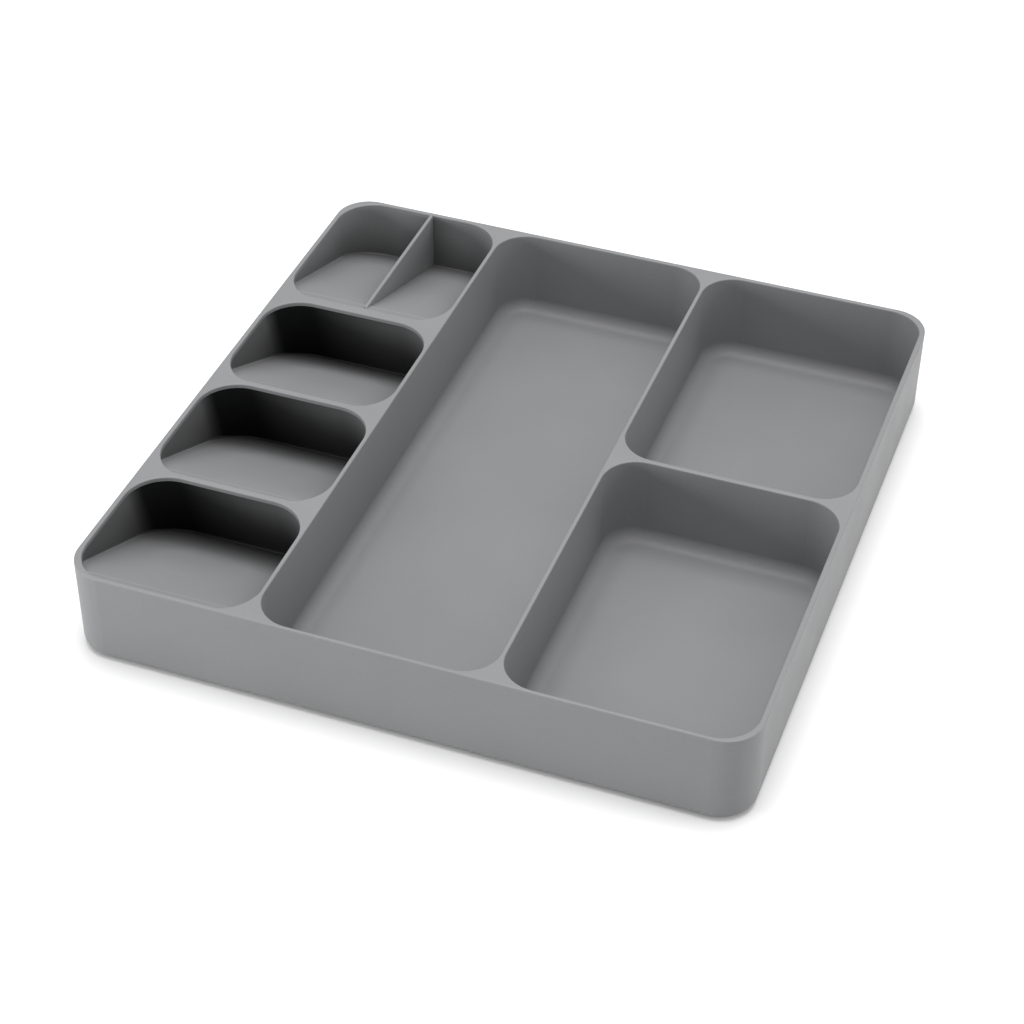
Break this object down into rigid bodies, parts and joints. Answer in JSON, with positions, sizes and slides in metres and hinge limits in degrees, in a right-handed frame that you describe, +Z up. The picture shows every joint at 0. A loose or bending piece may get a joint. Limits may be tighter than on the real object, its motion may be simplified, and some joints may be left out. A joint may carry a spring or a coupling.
{
  "type": "drawer organizer insert",
  "caption": "Low plastic drawer tray with a column of tiered sloping cutlery pockets, one split pocket, a long middle bay and stacked side bays.",
  "frame": {"origin": "on the drawer floor, under the centre of the tray", "axes": "+Z up out of the tray, +Y towards the back of the drawer, +X to the right, away from the cutlery column"},
  "size_m": [0.384, 0.397, 0.058],
  "materials": {
    "tray_plastic": "satin",
    "cover_plastic": "fine texture",
    "rubber_foot": "matte"
  },
  "bodies": {
    "root": {"tray_body": "tray_plastic", "pocket_front": "tray_plastic", "pocket_middle": "tray_plastic", "pocket_rear": "tray_plastic", "split_pocket": "tray_plastic", "pocket_divider": "tray_plastic", "base_cover": "cover_plastic", "foot_front_left": "rubber_foot", "foot_front_right": "rubber_foot", "foot_middle_left": "rubber_foot", "foot_middle_right": "rubber_foot", "foot_back_left": "rubber_foot", "foot_back_right": "rubber_foot"}
  },
  "joints": []
}
